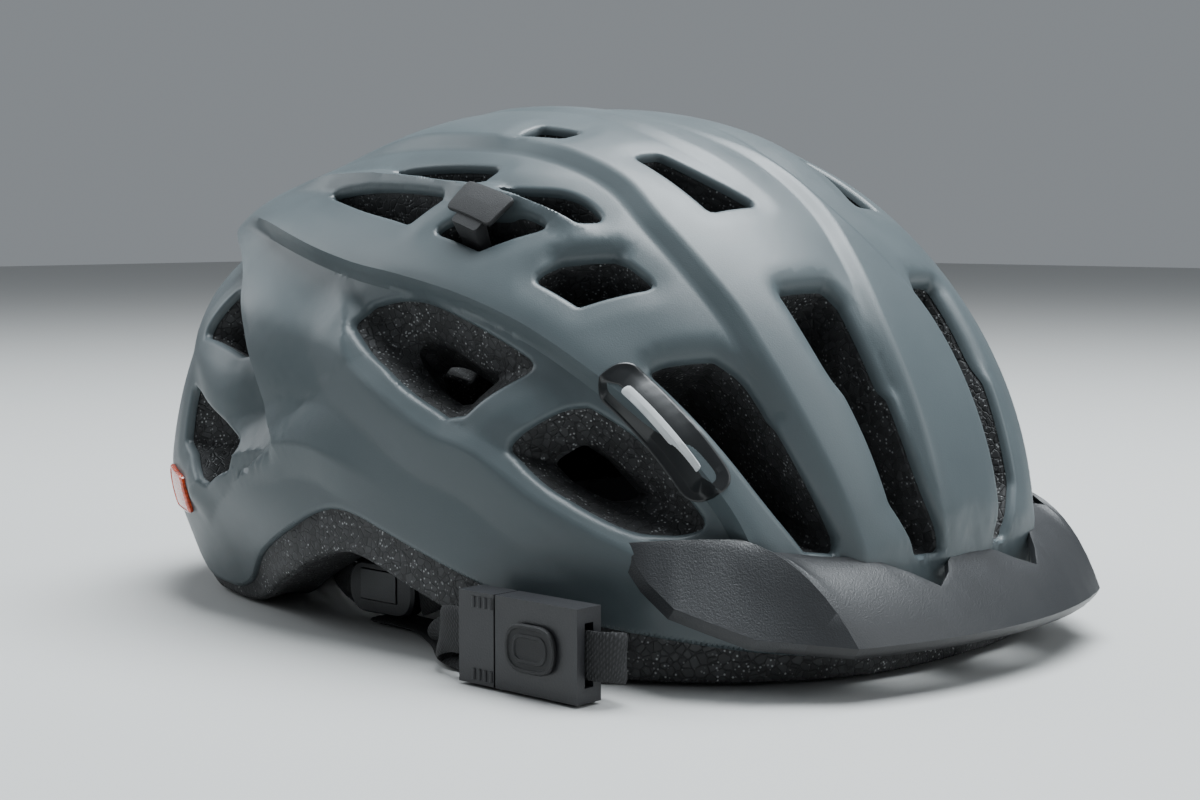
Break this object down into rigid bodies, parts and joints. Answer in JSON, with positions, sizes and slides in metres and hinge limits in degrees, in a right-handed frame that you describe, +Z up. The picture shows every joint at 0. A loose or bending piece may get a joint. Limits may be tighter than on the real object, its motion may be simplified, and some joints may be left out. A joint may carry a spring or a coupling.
{
  "type": "cycling helmet",
  "caption": "Vented cycling helmet with foam liner, moulded shell, snap-in visor, dial fit system, pads and buckled chin straps.",
  "frame": {"origin": "middle of the helmet's length and width, at the plane the rim rests on", "axes": "-Y is the front of the helmet, -X the wearer's right, +Z up"},
  "size_m": [0.22, 0.3204, 0.1569],
  "materials": {
    "shell": "matte slate grey polycarbonate",
    "foam": "charcoal bead foam with fine light flecks",
    "visor": "satin charcoal",
    "badge": "smooth dark charcoal",
    "reflector": "red-orange reflective film",
    "plastic": "fine satin black",
    "knob": "soft-touch black",
    "webbing": "woven black webbing",
    "pad": "brushed knit over foam"
  },
  "bodies": {
    "helmet": {"outer_shell": "shell", "eps_liner": "foam", "badge_right": "badge", "badge_left": "badge", "reflector_right": "reflector", "reflector_left": "reflector", "lamp_clip": "plastic", "crown_pad_middle": "pad", "crown_pad_right": "pad", "crown_pad_left": "pad", "side_pad_right": "pad", "side_pad_left": "pad", "front_belt": "plastic", "brow_pad": "pad", "belt_anchor_right": "plastic", "belt_anchor_left": "plastic", "height_anchor": "plastic", "strap_anchor_front_right": "plastic", "strap_anchor_front_left": "plastic", "strap_anchor_rear_right": "plastic", "strap_anchor_rear_left": "plastic", "front_strap_right": "webbing", "front_strap_left": "webbing", "rear_strap_right": "webbing", "rear_strap_left": "webbing", "strap_divider_right": "plastic", "strap_divider_left": "plastic", "buckle_socket": "plastic", "buckle_pad": "badge", "chin_strap_right": "webbing"},
    "visor": {"visor": "visor"},
    "cradle": {"cradle_frame": "plastic", "nape_pad": "pad", "dial_housing": "plastic", "dial_cover": "plastic", "height_strap": "plastic"},
    "dial": {"dial_knob": "knob", "dial_pinion": "plastic"},
    "band_right": {"rear_band_right": "plastic"},
    "band_left": {"rear_band_left": "plastic"},
    "lever_right": {"cam_lever_right": "plastic"},
    "lever_left": {"cam_lever_left": "plastic"},
    "buckle_tongue": {"buckle_tongue": "plastic", "chin_strap_left": "webbing", "strap_keeper": "plastic"}
  },
  "joints": [
    {"name": "visor_pull_off", "type": "slide", "parent": "helmet", "child": "visor", "axis": [0, -1, 0], "range_m": [0, 0.03]},
    {"name": "cradle_height", "type": "slide", "parent": "helmet", "child": "cradle", "axis": [0, 0, 1], "range_m": [0, 0.01]},
    {"name": "dial_turn", "type": "hinge", "parent": "cradle", "child": "dial", "pos_m": [0, 0.108, 0.018], "axis": [0, 1, 0], "range_deg": [0, 60]},
    {"name": "band_right_draw", "type": "slide", "parent": "cradle", "child": "band_right", "axis": [1, 0, 0], "range_m": [0, 0.006]},
    {"name": "band_left_draw", "type": "slide", "parent": "cradle", "child": "band_left", "axis": [-1, 0, 0], "range_m": [0, 0.006]},
    {"name": "lever_right_open", "type": "hinge", "parent": "helmet", "child": "lever_right", "pos_m": [-0.0744, 0.0174, 0.0102], "axis": [0, 0, 1], "range_deg": [0, 80]},
    {"name": "lever_left_open", "type": "hinge", "parent": "helmet", "child": "lever_left", "pos_m": [0.0744, 0.0174, 0.0102], "axis": [0, 0, -1], "range_deg": [0, 80]},
    {"name": "buckle_release", "type": "slide", "parent": "helmet", "child": "buckle_tongue", "axis": [0, 1, 0], "range_m": [0, 0.018]}
  ],
  "couplings": [
    {"joint": "band_right_draw", "follows": "dial_turn", "m_per_rad": 0.005},
    {"joint": "band_left_draw", "follows": "dial_turn", "m_per_rad": 0.005}
  ]
}
